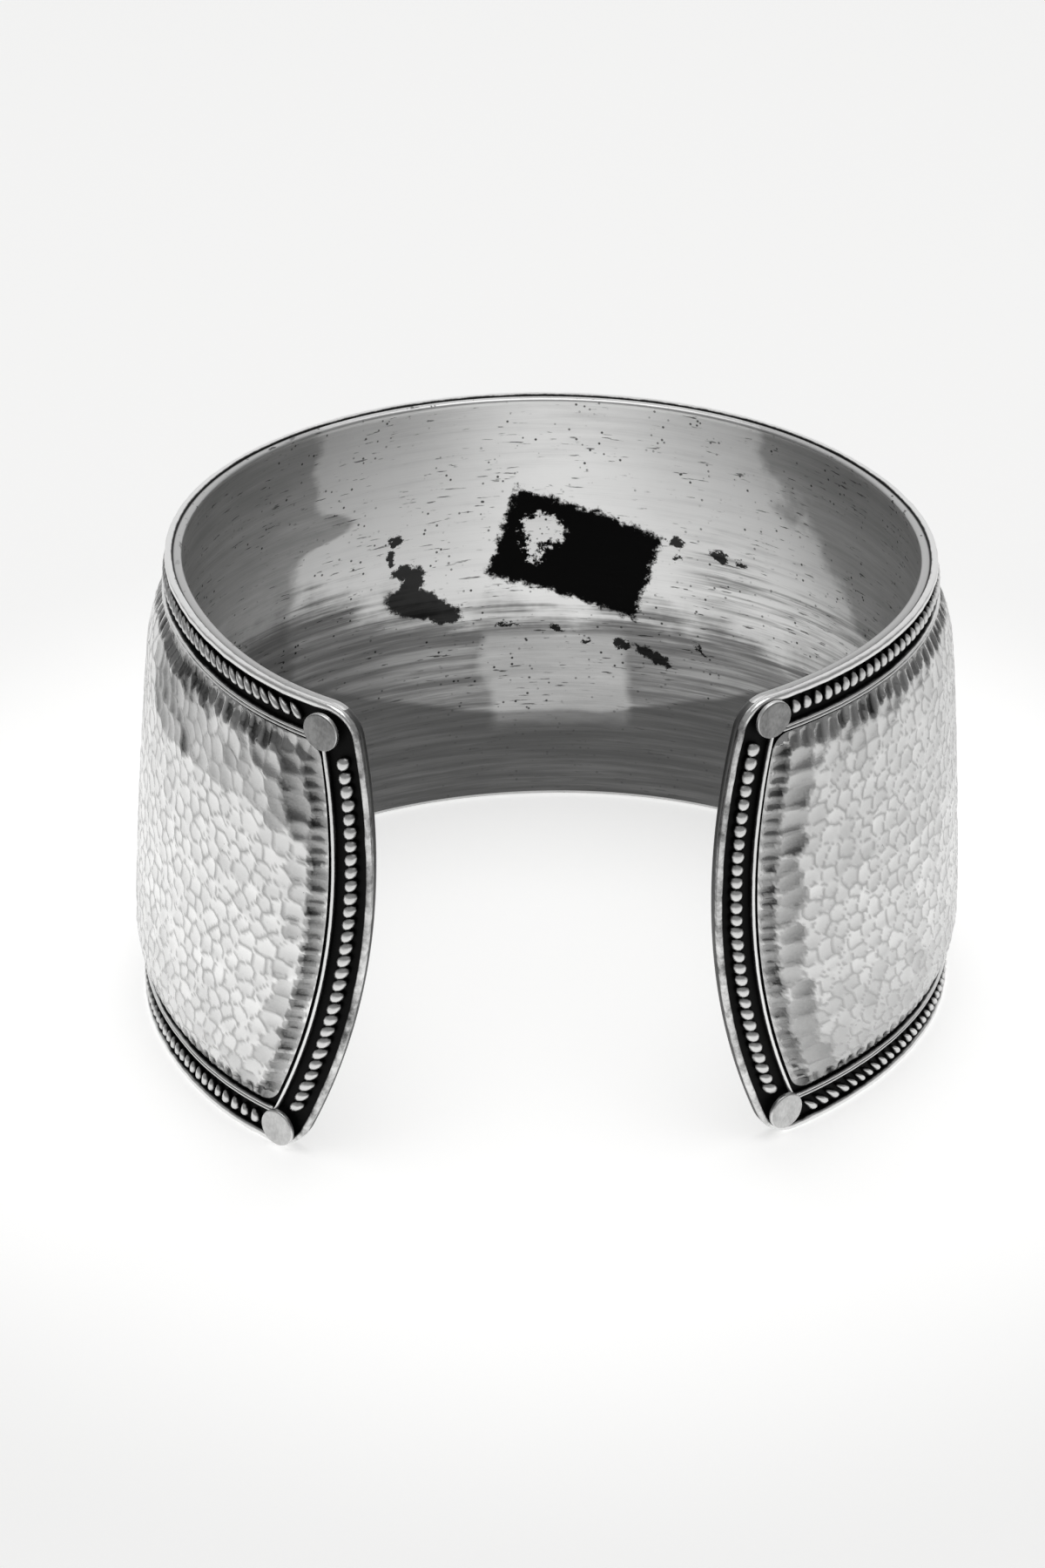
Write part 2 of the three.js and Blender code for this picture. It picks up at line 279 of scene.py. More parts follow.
class Finish:
    def __init__(self, name, shader):
        self.material = bpy.data.materials.new(name)
        self.material.use_nodes = True
        self.tree = self.material.node_tree
        self.shader = self.tree.nodes["Principled BSDF"]
        for socket, value in shader.items():
            self.shader.inputs[socket].default_value = value

    def node(self, kind, settings, sockets):
        made = self.tree.nodes.new(kind)
        for key, value in settings.items():
            setattr(made, key, value)
        for key, value in sockets.items():
            self.feed(made.inputs[key], value)
        return NodeResult(self, made)

    def feed(self, socket, value):
        if isinstance(value, Varying):
            self.tree.links.new(value.socket, socket)
        else:
            socket.default_value = value

    def set(self, socket, value):
        self.feed(self.shader.inputs[socket], value)

    def attribute(self, name):
        return self.node("ShaderNodeAttribute", {"attribute_name": name}, {})

    def stretched(self, vector, scale, turn=0.0, shift=(0, 0, 0)):
        sockets = {"Vector": vector, "Location": shift, "Rotation": (0, 0, turn), "Scale": scale}
        return self.node("ShaderNodeMapping", {}, sockets).output("Vector")

    def noise(self, vector, scale, detail=3.0, roughness=0.55):
        sockets = {"Vector": vector, "Scale": scale, "Detail": detail, "Roughness": roughness}
        return self.node("ShaderNodeTexNoise", {}, sockets).output(0)

    # the Mix node's colour sockets are numbered 6 and 7 going in and 2 coming out
    def mix(self, factor, a, b):
        sockets = {"Factor": factor, 6: a, 7: b}
        return self.node("ShaderNodeMix", {"data_type": "RGBA"}, sockets).output(2)

    def bump(self, height, strength, distance):
        sockets = {"Height": height, "Strength": strength, "Distance": distance}
        self.set("Normal", self.node("ShaderNodeBump", {}, sockets).output("Normal"))


class NodeResult:
    def __init__(self, finish, node):
        self.finish = finish
        self.node = node

    def output(self, key):
        return Varying(self.finish, self.node.outputs[key])

    @property
    def value(self):
        return self.output(0)


# a neutral grey with a trace less blue
def grey(shade):
    return (shade, shade, shade * 0.995, 1)


# the plain sheet: satin and brushed inside, blackened outside, with its old stains, and with painted
# reflections and painted shade over the inside
sheetForm = {
    "thickness": 0.8,
    "lip": 0.1,
    "lipWidth": 0.6,
    "edgeInset": 0.06,
    "edgeRound": 0.3,
    "channelInset": 0.2,    # the blackened channel begins this far in
    "cornerRadius": 2.14,
    "edges": (0, 0.03, 0.1, 0.2, 0.3, 0.45, 0.6, 0.9, 1.25, 1.7, 2.14),
    "step": 0.9,
    "bright": 0.87,
    "dark": 0.1,
    "stain": 0.008,
    "channel": 0.016,
    # edges of the painted light and painted shade zones on the flat wall, in millimetres
    "leftEdge": -11.2,
    "leftStep": (28.5, 30, 2.1),            # from, to and how far it leaves the edge
    "notch": (27.4, 28.9, 29.3, 32.0, 4.6),     # where it starts, is full, fades and ends, and its reach
    "rightEdge": (32.5, 36.5, 36, 0.85),    # from, to, at this height, and how it leans
    "lowBand": (13, 8.5, 0.0125),           # its middle, its height there and how it rises away
    "crust": (3.5, 3.8),                    # the lighter crust along the bottom ends here
    "riseLeft": (-11, 8, 4.5),              # the streaked band rises to the left: from, to, how far
    "riseFades": (17, 22),
    "midLine": 14.5,
    "topDulls": (32, 38),
    "lightBox": ((13.6, 12.7), 0.0, (6.3, 4.4), 0.9),
    "sweep": ((38, 24.5), -0.15, (12, 3.5), 3.0),
    "edgeWear": (0.42, 0.62),               # a painted highlight along the top and bottom edges inside: its width and its tone
    # how much each painted shade darkens the inside wall
    "paintedDarkening": {
        "sides": 0.47, "lowBand": 0.66, "midBand": 0.46, "midStreaks": 0.34, "lightBox": 0.38,
        "top": 0.1, "belowMiddle": 0.42, "sweep": 0.6,
    },
    # places on the flat wall in millimetres, their tilt and their half sizes
    "patch": ((15.3, 24.4), -0.31, (6.9, 4.4)),
    "patchEdge": 0.25,
    "spotEdge": (0.7, 1.15),    # a spot fades between these squares of its size
    "patchHoles": (
        ((12.5, 26.7), -0.3, (1.9, 1.5)),
        ((11.6, 24.6), 0.2, (0.7, 1.3)),
    ),
    "stains": (
        ((0.9, 20.3), -0.35, (3.2, 1.5)),
        ((3.4, 18.9), -0.3, (1.9, 1.0)),
        ((0.6, 22.3), -0.2, (1.1, 1.8)),
        ((-0.4, 23.6), 0.2, (1.1, 0.65)),
        ((-1.0, 26.8), 0.0, (0.75, 0.55)),
        ((-1.5, 25.2), 0.1, (0.34, 0.9)),
        ((22.2, 14.6), -0.45, (1.9, 0.62)),
        ((19.4, 15.5), -0.2, (0.9, 0.38)),
        ((16.2, 15.5), 0.0, (0.55, 0.2)),
        ((13.7, 16.8), -0.5, (0.8, 0.26)),
        ((9.2, 17.3), 0.0, (1.1, 0.17)),
        ((26.6, 15.9), -0.7, (0.8, 0.18)),
        ((24.6, 26.2), 0.0, (0.7, 0.55)),
        ((24.5, 24.8), 0.2, (0.4, 0.25)),
        ((28.6, 25.6), -0.3, (0.9, 0.55)),
        ((30.8, 25.3), 0.0, (0.45, 0.32)),
    ),
}


def makeSheetFinish(form):
    finish = Finish("satinSilver", {"Metallic": 1.0, "Roughness": 0.4})
    flat = finish.attribute("flat").output("Vector")
    outside = finish.attribute("worn").output("Fac")
    parts = finish.node("ShaderNodeSeparateXYZ", {}, {"Vector": flat})
    along = parts.output("X")
    height = parts.output("Y")
    broad = finish.noise(flat, 0.16, 4.0) - 0.5
    streaks = finish.noise(finish.stretched(flat, (0.05, 1.3, 0.05), 0.03), 1.0, 6.0, 0.65)
    fine = finish.noise(finish.stretched(flat, (0.25, 9.0, 0.2), -0.02), 1.0, 4.0, 0.6)
    smudges = finish.noise(finish.stretched(flat, (0.12, 0.4, 0.12), -0.1), 1.0, 5.0, 0.6)
    blur = smudges - 0.5
    # painted reflection and painted shade: the light middle of the back and its dark sides
    paintedDarkening = form["paintedDarkening"]
    stepFrom, stepTo, stepReach = form["leftStep"]
    notchFrom, notchFull, notchFade, notchTo, notchReach = form["notch"]
    notch = height.between(notchFrom, notchFull) * (1 - height.between(notchFade, notchTo))
    leftEdge = notch * notchReach + height.between(stepFrom, stepTo) * stepReach + form["leftEdge"]
    leftSide = 1 - (along - leftEdge + broad * 7 + blur * 3).between(-1.3, 0.9)
    rightFrom, rightTo, rightHeight, rightLean = form["rightEdge"]
    rightPlace = along + (height - rightHeight) * rightLean + broad * 16 + blur * 6
    sides = leftSide.math("MAXIMUM", rightPlace.between(rightFrom, rightTo))
    # painted shade along the bottom, the painted reflection of the light box above it, and the streaked
    # band between, darkened with painted shade
    middle, bandHeight, bandRise = form["lowBand"]
    fromMiddle = along - middle
    lowEdge = (fromMiddle * fromMiddle * bandRise + bandHeight) - height
    lowBand = (lowEdge + broad).between(-0.35, 0.35)
    aboveBand = 1 - lowBand
    lightBox = tiltedBox(along + broad * 5, height + smudges * 2, *form["lightBox"])
    riseFrom, riseTo, riseReach = form["riseLeft"]
    riseLeft = 1 - along.between(riseFrom, riseTo)
    midLine = streaks * 9 + broad * 8 + form["midLine"] + riseLeft * riseReach
    midBand = (midLine - height).between(-2.0, 3.0) * (1 - lightBox * 0.8)
    midDark = streaks.between(0.3, 0.65) * paintedDarkening["midStreaks"] + paintedDarkening["midBand"]
    sweep = tiltedBox(along, height + smudges * 5, *form["sweep"])
    sweepDark = (1 - streaks.between(0.35, 0.6)) * paintedDarkening["sweep"]
    crust = 1 - (height + broad * 1.5 + blur * 1.2).between(*form["crust"])
    shade = (1 - sides * paintedDarkening["sides"]) * (1 - lowBand * paintedDarkening["lowBand"])
    shade = shade * (1 - midBand * midDark)
    shade = shade * (1 - lightBox * aboveBand * paintedDarkening["lightBox"]) * (crust * 0.2 + 1)
    # painted shade towards the top
    shade = shade * (1 - height.between(*form["topDulls"]) * paintedDarkening["top"])
    # painted shade on the left, below the middle
    riseDark = riseLeft * (1 - height.between(*form["riseFades"])) * aboveBand
    shade = shade * (1 - riseDark * paintedDarkening["belowMiddle"])
    # painted shade in the streaked sweep on the right, then the real brushing and smudges
    shade = shade * (1 - sweep * sweepDark) * (fine * 0.3 + smudges * 0.45 + 0.62)
    shade = shade * ((streaks - 0.5) * (1 - lowBand * 0.7) * 0.6 + 1.0)
    # a painted highlight along the top and bottom edges, where the rounded lip would catch the light
    highlightWidth, highlightTone = form["edgeWear"]
    edgeWear = height.math("COMPARE", middleHeight, middleHeight - highlightWidth) * -1 + 1
    shade = shade.math("MAXIMUM", edgeWear * highlightTone)
    silver = finish.mix(shade.between(0.0, 1.05), grey(form["dark"]), grey(form["bright"]))
    # stains with ragged edges, pits and short scratches
    ragged = (finish.noise(flat, 1.3, 6.0, 0.75) - 0.5) * 3.0
    wander = (finish.noise(finish.stretched(flat, (1, 1, 1), 0, (40, 40, 0)), 1.1, 6.0, 0.75) - 0.5) * 3.0
    nearAlong = along + ragged
    nearHeight = height + wander
    stain = tiltedBox(nearAlong, nearHeight, *form["patch"], form["patchEdge"])
    for hole in form["patchHoles"]:
        inHole = spot(nearAlong + ragged * 0.6, nearHeight + wander * 0.6, *hole)
        stain = stain * (1 - inHole * 0.92)
    nearAlong = along + ragged * 0.75
    nearHeight = height + wander * 0.75
    for place in form["stains"]:
        stain = stain.math("MAXIMUM", spot(nearAlong, nearHeight, *place) * 0.93)
    cells = finish.node("ShaderNodeTexVoronoi", {}, {"Vector": flat, "Scale": 1.25}).output("Distance")
    pitZone = finish.noise(flat, 0.35, 3.0).between(0.42, 0.58)
    pits = (1 - cells.between(0.09, 0.19)) * pitZone
    scratched = finish.stretched(flat, (0.55, 4.5, 1), -0.12)
    scratches = finish.noise(scratched, 1.0, 3.0, 0.5).between(0.63, 0.68)
    marks = (pits * 0.85).math("MAXIMUM", scratches * pitZone * 0.7)
    stain = stain.math("MAXIMUM", marks * (1 - lowBand * 0.75))
    stained = finish.mix(stain, silver, grey(form["stain"]))
    finish.set("Base Color", finish.mix(outside, stained, grey(form["channel"])))
    finish.set("Roughness", (0.46 - shade * 0.08) + stain * 0.3 + outside * 0.2)
    finish.bump(fine * 0.5 + streaks * 0.3 - stain * 0.4, 0.25, 0.00005)
    return finish.material


# 1 inside a tilted box on the flat wall and 0 outside it, with a soft edge
def tiltedBox(along, height, centre, turn, size, soft):
    x = along - centre[0]
    y = height - centre[1]
    u = (x * math.cos(turn) + y * math.sin(turn)).math("ABSOLUTE")
    v = (y * math.cos(turn) - x * math.sin(turn)).math("ABSOLUTE")
    inU = 1 - u.between(size[0] - soft, size[0] + soft)
    return inU * (1 - v.between(size[1] - soft, size[1] + soft))


# 1 inside a tilted oval on the flat wall and 0 outside it
def spot(along, height, centre, turn, size):
    x = along - centre[0]
    y = height - centre[1]
    u = (x * math.cos(turn) + y * math.sin(turn)) * (1 / size[0])
    v = (y * math.cos(turn) - x * math.sin(turn)) * (1 / size[1])
    return 1 - (u * u + v * v).between(*sheetForm["spotEdge"])


def makeSheet(form):
    bm = bmesh.new()
    low = form["edgeInset"]
    columns = spaced(-halfStrip + low, halfStrip - low, form["edges"], form["step"])
    rows = spaced(low, cuffHeight - low, form["edges"], form["step"])
    for outside in (0, 1):

        def place(x, y):
            toEdge = min(halfStrip - low - abs(x), y - low, cuffHeight - low - y)
            rounding = 1 - min(toEdge / form["edgeRound"], 1)
            full = math.sqrt(max(1 - rounding ** 2, 0))
            lip = form["lip"] * (1 - min(toEdge / form["lipWidth"], 1)) ** 2
            middle = -form["thickness"] / 2 - lip / 2
            half = (form["thickness"] + lip) / 2 * full
            offset = middle + (half if outside else -half)
            x, y = roundCorner(x, y, low, low, form["cornerRadius"])
            black = outside if toEdge > form["channelInset"] else 0
            return bend(x, y, offset), (flatAlong(x, y), y, offset), black

        addGrid(bm, columns, rows, place)
    bmesh.ops.remove_doubles(bm, verts=bm.verts, dist=weldDistance)
    finishPiece(bm, "plainSheet", makeSheetFinish(form), "band")


makeSheet(sheetForm)

# the rim soldered round the outer edge, hammered uneven, and the grooved wire inside the channel
rimForm = {
    "section": (    # inset, offset and how worn each corner is
        (0.07, -0.03, 0), (0.0, 0.07, 0.6), (0.0, 0.22, 1), (0.0, 0.38, 1), (0.06, 0.5, 1),
        (0.16, 0.55, 1), (0.36, 0.55, 0.9), (0.48, 0.5, 0.7), (0.55, 0.38, 0.3), (0.56, 0.0, 0),
        (0.5, -0.12, 0), (0.25, -0.12, 0),
    ),
    "endWidth": 0.9,
    "endInset": 0.0,
    "rimInset": 0.0,
    "cornerRadius": 2.2,
    "step": 0.4,
    "uneven": 0.045,
    "endDull": 0.45,
}
wireForm = {
    "section": (
        (0.0, -0.15, 0), (-0.02, 0.1, 0), (-0.02, 0.38, 0.4), (0.03, 0.5, 1), (0.1, 0.54, 1),
        (0.17, 0.49, 0.7), (0.21, 0.38, 0.1), (0.25, 0.38, 0.1), (0.29, 0.49, 0.7),
        (0.36, 0.54, 1), (0.43, 0.5, 1), (0.47, 0.38, 0.4), (0.46, 0.1, 0), (0.44, -0.15, 0),
    ),
    "endWidth": 0.6,        # narrower along the ends
    "endInset": 3.08,
    "rimInset": 2.75,
    "cornerRadius": 0.5,
    "step": 0.5,
    "uneven": 0.02,
    "endDull": 0.0,
    "groove": (0.1, 0.36, 0.56),    # from, to and the offset it fills up to along the ends
}
ringForm = {
    "arcExtra": 3,
    "arcLeast": 5,
    "unevenScale": 0.9,
    "evenBelow": 0.1,       # the hidden sides below this offset stay even
    "dark": 0.03,
    "bright": 0.85,
}


# the closed line of a rounded rectangle: its points and, at each, the way inwards
def borderLine(form):
    width = halfStrip - form["endInset"]
    half = middleHeight - form["rimInset"]
    radius = form["cornerRadius"]
    arcSteps = max(round(radius * math.pi / 2 / form["step"]) + ringForm["arcExtra"], ringForm["arcLeast"])
    line = []
    corners = ((1, -1), (1, 1), (-1, 1), (-1, -1))
    for i, (sx, sy) in enumerate(corners):
        start = math.atan2(sy, sx) - math.pi / 4
        for step in range(arcSteps + 1):
            turn = start + math.pi / 2 * step / arcSteps
            out = (math.cos(turn), math.sin(turn))
            place = (sx * (width - radius) + out[0] * radius, sy * (half - radius) + out[1] * radius)
            line.append((place, out))
        nextX, nextY = corners[(i + 1) % 4]
        goal = (nextX * (width - radius), nextY * (half - radius))
        goal = (line[-1][0][0], goal[1]) if sx == nextX else (goal[0], line[-1][0][1])
        x, y = line[-1][0]
        out = line[-1][1]
        count = round(math.hypot(goal[0] - x, goal[1] - y) / form["step"])
        for step in range(1, count):
            share = step / count
            line.append(((x + (goal[0] - x) * share, y + (goal[1] - y) * share), out))
    return line


def makeWireFinish():
    finish = Finish("rimSilver", {"Metallic": 1.0, "Roughness": 0.3})
    flat = finish.attribute("flat").output("Vector")
    worn = finish.attribute("worn").output("Fac")
    wear = finish.noise(flat, 1.3, 5.0, 0.7)
    patches = finish.noise(flat, 0.25, 4.0, 0.6)
    polished = (worn + (wear - 0.5) * 0.8 + (patches - 0.55) * 0.9).between(0.1, 0.75)
    finish.set("Base Color", finish.mix(polished, grey(ringForm["dark"]), grey(ringForm["bright"])))
    finish.set("Roughness", 0.5 - polished * 0.22)
    finish.bump(finish.noise(flat, 2.2, 4.0), 0.5, 0.00006)
    return finish.material


wireFinish = makeWireFinish()


def makeRing(form, name):
    bm = bmesh.new()
    line = borderLine(form)
    section = form["section"]
    grooveFrom, grooveTo, filledTo = form.get("groove", (0, 0, 0))
    scale = ringForm["unevenScale"]

    def place(column, row):
        (x, y), out = line[column % len(line)]
        inset, offset, worn = section[row % len(section)]
        atEnd = out[0] ** 2
        if grooveFrom < inset < grooveTo:
            offset += (filledTo - offset) * atEnd
            worn += (1 - worn) * atEnd
        inset *= 1 + (form["endWidth"] - 1) * atEnd
        y += middleHeight
        rough = form["uneven"] * noise.noise((x * scale, y * scale, inset))
        if offset > ringForm["evenBelow"]:
            offset += rough
            inset += abs(rough)
        x -= out[0] * inset
        y -= out[1] * inset
        return bend(x, y, offset), (flatAlong(x, y), y, offset), worn * (1 - form["endDull"] * atEnd)

    addGrid(bm, range(len(line) + 1), range(len(section) + 1), place)
    bmesh.ops.remove_doubles(bm, verts=bm.verts, dist=weldDistance)
    finishPiece(bm, name, wireFinish, None)


makeRing(rimForm, "rimWire")
makeRing(wireForm, "innerWire")

# the hammered panel: domed, covered in round dents, with a row of punched dents along its edges
panelForm = {
    "endInset": 3.72,
    "rimInset": 3.47,
    "cornerRadius": 1.2,
    "seat": 0.2,
    "edgeRise": 0.45,
    "rise": 1.38,
    "shoulder": 4.5,
    "edges": (0, 0.02, 0.07, 0.16, 0.3, 0.45, 0.6, 0.75, 0.9, 1.05, 1.2, 1.4),
    "rollWidth": 0.16,
    "lift": 0.02,
    "leastRise": 0.05,
    "step": 0.265,
    "under": {"inset": 0.3, "edges": (0, 0.4, 0.9), "step": 1.6},
    # how the blows are set out, in millimetres from the edges
    "endRows": {
        "Punch": {"inset": (0.65, 0.9), "gap": (0.95, 1.2), "start": 0.6, "stop": 0.4},
        "Facet": {"inset": (1.8, 2.9), "gap": (1.3, 2.0), "start": 1.5, "stop": 1},
    },
    "rimRow": {"inset": (0.6, 0.85), "gap": (1.05, 1.4), "start": 1.4, "stop": 1.2},
    "field": {"pitch": 1.62, "rowShare": 0.87, "scatter": 0.3, "clearOfEnd": 3.2, "clearOfRim": 1.5},
    "snap": (0.62, 0.42),       # a vertex this near a ridge moves onto it, in steps ahead and back
    "snapAhead": (0.8, 0.6),
    "leastSlope": 1e-4,
    "nearBlows": 5,
    # how round, deep and stretched each kind of blow is, and how dark its painted shade
    "dent": {"round": (2.6, 4.2), "depth": (0.1, 0.16), "stretch": (1.0, 1.0), "dark": (0.0, 0.05)},
    "leftFacet": {"round": (1.9, 3.2), "depth": (0.18, 0.28), "stretch": (0.95, 1.0), "dark": (0.05, 0.4)},
    "rightFacet": {"round": (1.9, 3.2), "depth": (0.2, 0.32), "stretch": (1.15, 1.0), "dark": (0.2, 0.75)},
    "leftPunch": {"round": (0.5, 0.7), "depth": (0.3, 0.42), "stretch": (1.3, 1.0), "dark": (0.65, 1.0)},
    "rightPunch": {"round": (0.45, 0.65), "depth": (0.3, 0.42), "stretch": (1.2, 1.0), "dark": (0.6, 1.0)},
    "rimPunch": {"round": (0.4, 0.55), "depth": (0.22, 0.32), "stretch": (1.0, 1.6), "dark": (0.4, 1.05)},
    "zones": {      # where the hammer struck harder, with painted shade: from, to, low, high, how much deeper and how much darker its painted shade
        "leftShoulder": (-80, -58, 29.5, 36, 1.4, 0.6),
        "leftBend": (-68, -57, 29.5, 36, 1.5, 1.0),
        "leftCorner": (-82, -76, 28.5, 36, 1.2, 1.0),
    },
    # painted shade: a blow is darkest on its side towards the back of the cuff, and below
    "darkMiddle": 0.8,
    "darkFade": 0.36,
    "darkLeast": 0.5,
    "darkLean": 0.35,
    "edgeDrop": 0.22,
    "edgeDropWidth": 1.3,
    "seed": 11,
    "shades": (0.5, 0.9),
    # the grey of the painted shade lines along the ridges
    "ridgeShade": 0.38,
    # the grey of the darkest painted shade in the blows
    "punchShade": 0.045,
    "darkRight": (-30, 60, 0.45),       # painted shade: the panel darkens to the right, from, to and how much
    # painted shade: the panel darkens towards the bottom, below these heights, and how much
    "darkLow": (6, 17, 0.35),
}


# the hammer's blows as flat places, each with how round and deep it is: rows of punches along the
# edges, a row of large facets inside them at the ends, and round dents over the rest
def scatterBlows(form):
    chance = random.Random(form["seed"])
    blows = []

    def strike(x, y, kind):
        rules = form[kind]
        roundness = chance.uniform(*rules["round"])
        depth = chance.uniform(*rules["depth"])
        # the painted shade of this blow
        dark = chance.uniform(*rules["dark"])
        for start, end, low, high, deeper, darker in form["zones"].values():
            if start < x < end and low < y < high:
                depth *= deeper
                dark = max(dark, darker * chance.uniform(0.2, 1.0))
        blows.append((x, y, roundness, depth, rules["stretch"], dark, chance.random()))

    right = halfStrip - form["endInset"]
    low = form["rimInset"]
    high = cuffHeight - low
    for side, name in ((-1, "left"), (1, "right")):
        for kind, row in form["endRows"].items():
            y = low + row["start"]
            while y < high - row["stop"]:
                strike(side * (right - chance.uniform(*row["inset"])), y, name + kind)
                y += chance.uniform(*row["gap"])
    row = form["rimRow"]
    for edge, inwards in ((low, 1), (high, -1)):
        x = -right + row["start"]
        while x < right - row["stop"]:
            strike(x, edge + inwards * chance.uniform(*row["inset"]), "rimPunch")
            x += chance.uniform(*row["gap"])
    field = form["field"]
    pitch = field["pitch"]
    scatter = field["scatter"]
    clear = field["clearOfRim"]
    for row in range(int((high - low) / (pitch * field["rowShare"])) + 1):
        for column in range(int(-halfStrip / pitch), int(halfStrip / pitch) + 1):
            x = (column + 0.5 * (row % 2) + chance.uniform(-scatter, scatter)) * pitch
            y = low + clear + (row + chance.uniform(-scatter, scatter)) * pitch * field["rowShare"]
            if abs(x) < right - field["clearOfEnd"] and y < high - clear:
                strike(x, y, "dent")
    tree = kdtree.KDTree(len(blows))
    for i, blow in enumerate(blows):
        tree.insert((blow[0], blow[1], 0), i)
    tree.balance()
    return blows, tree


# how far a blow has sunk a place, with the slope there
def sink(blow, x, y):
    bx, by, roundness, depth, (wide, tall) = blow[:5]
    u = (x - bx) / wide
    v = (y - by) / tall
    return (u * u + v * v) / (2 * roundness) - depth, Vector((u / wide, v / tall)) / roundness


# what the blows near a place did to it: where it moves so that it meets a ridge between two of
# them, how far it has sunk, whether it is on the ridge, how dark its blow's painted shade is and that
# blow's tone
def carve(form, blows, tree, x, y):
    near = [blows[index] for place, index, distance in tree.find_n((x, y, 0), form["nearBlows"])]
    near.sort(key=lambda blow: sink(blow, x, y)[0])
    deep, slope = sink(near[0], x, y)
    level, otherSlope = sink(near[1], x, y)
    if level > 0:
        level, otherSlope = 0.0, Vector((0, 0))
    rise = otherSlope - slope
    ridge = 0
    if rise.length > form["leastSlope"] and deep < 0:
        shift = rise * (deep - level) / rise.length_squared
        aheadX, aheadY = form["snapAhead"]
        isAhead = shift.x * aheadX + shift.y * aheadY > 0
        limit = form["snap"][0 if isAhead else 1] * form["step"]
        if shift.length < limit:
            x += shift.x
            y += shift.y
            ridge = 1
            deep = sink(near[0], x, y)[0]
    bx, by, roundness, depth, stretch, dark, tone = near[0]
    reach = math.sqrt(2 * roundness * depth)
    # painted shade, darkest on the side towards the back of the cuff and below
    across = (x - bx) / stretch[0] * (1 if x < 0 else -1)
    towards = across - form["darkLean"] * (y - by) / stretch[1]
    fade = form["darkMiddle"] + form["darkFade"] * towards / reach
    dark *= min(max(fade, form["darkLeast"]), 1) if deep < 0 else 0
    return x, y, min(deep, 0), ridge, dark, tone


def makePanelFinish(form):
    finish = Finish("hammeredSilver", {"Metallic": 1.0, "Roughness": 0.25})
    flat = finish.attribute("flat").output("Vector")
    ridge = finish.attribute("worn").output("Fac")
    punch = finish.attribute("punch").output("Fac")
    tone = finish.attribute("tone").output("Fac")
    parts = finish.node("ShaderNodeSeparateXYZ", {}, {"Vector": flat})
    along = parts.output("X")
    height = parts.output("Y")
    cloud = finish.noise(flat, 0.35, 4.0)
    grain = finish.noise(flat, 5.0, 4.0, 0.65)
    pits = finish.noise(flat, 1.9, 2.0).between(0.74, 0.79)
    rightFrom, rightTo, rightDark = form["darkRight"]
    lowFrom, lowTo, lowDark = form["darkLow"]
    # painted shade: darker to the right and towards the bottom
    dim = along.between(rightFrom, rightTo) * rightDark + (1 - height.between(lowFrom, lowTo)) * lowDark
    bright = (tone * 0.35 + cloud * 0.6 + 0.42) - dim
    low, high = form["shades"]
    shade = finish.mix(bright, grey(low), grey(high))
    # painted shade lines along the ridges between the blows
    outline = ridge * (cloud * 0.6 + 0.5)
    shade = finish.mix(outline, shade, grey(form["ridgeShade"]))
    # painted shade in the blows, together with real pits
    dark = (punch * (grain * 0.5 + 0.8) * (1 - ridge * 0.42)).math("MAXIMUM", pits * 0.6)
    finish.set("Base Color", finish.mix(dark, shade, grey(form["punchShade"])))
    finish.set("Roughness", 0.17 + grain * 0.12 + ridge * 0.08)
    finish.bump(grain, 0.3, 0.00003)
    return finish.material


def makePanel(form):
    bm = bmesh.new()
    endInset = form["endInset"]
    rimInset = form["rimInset"]
    left = -halfStrip + endInset
    high = cuffHeight - rimInset
    seat = form["seat"]
    lift = form["lift"]
    blows, tree = scatterBlows(form)

    def place(x, y):
        toEnd = -left - abs(x)
        toRim = min(y - rimInset, high - y)
        toEdge = min(toEnd, toRim)
        px, py = roundCorner(x, y, endInset, rimInset, form["cornerRadius"])
        sx = min(toEnd / form["shoulder"], 1)
        sy = min(toRim / form["shoulder"], 1)
        dome = (1 - (1 - sx) ** 2) * (1 - (1 - sy) ** 2)
        carved = carve(form, blows, tree, px, py)
        if toEdge > form["rollWidth"]:
            px, py = carved[:2]
        sunk, ridge, dark, tone = carved[2:]
        drop = form["edgeDrop"] * (1 - min(toEdge / form["edgeDropWidth"], 1)) ** 2
        offset = form["edgeRise"] + (form["rise"] - form["edgeRise"]) * dome - drop + sunk
        offset = max(offset, seat + form["leastRise"])
        roll = min(toEdge / form["rollWidth"], 1)
        offset = seat + lift + (offset - seat - lift) * math.sqrt(1 - (1 - roll) ** 2)
        return bend(px, py, offset), (flatAlong(px, py), py, offset), ridge, dark, tone

    columns = spaced(left, -left, form["edges"], form["step"])
    rows = spaced(rimInset, high, form["edges"], form["step"])
    addGrid(bm, columns, rows, place, ("worn", "punch", "tone"))

    # the hidden underside, coarse, joined to the rolled edge
    under = form["under"]
    inset = under["inset"]

    def placeUnder(x, y):
        px, py = roundCorner(x, y, endInset + inset, rimInset + inset, form["cornerRadius"] - inset)
        return bend(px, py, seat), (flatAlong(px, py), py, 0), 0

    columns = spaced(left + inset, -left - inset, under["edges"], under["step"])
    rows = spaced(rimInset + inset, high - inset, under["edges"], under["step"])
    addGrid(bm, columns, rows, placeUnder)
    bmesh.ops.bridge_loops(bm, edges=[edge for edge in bm.edges if edge.is_boundary])
    finishPiece(bm, "hammeredPanel", makePanelFinish(form), "hammered_panel")


makePanel(panelForm)

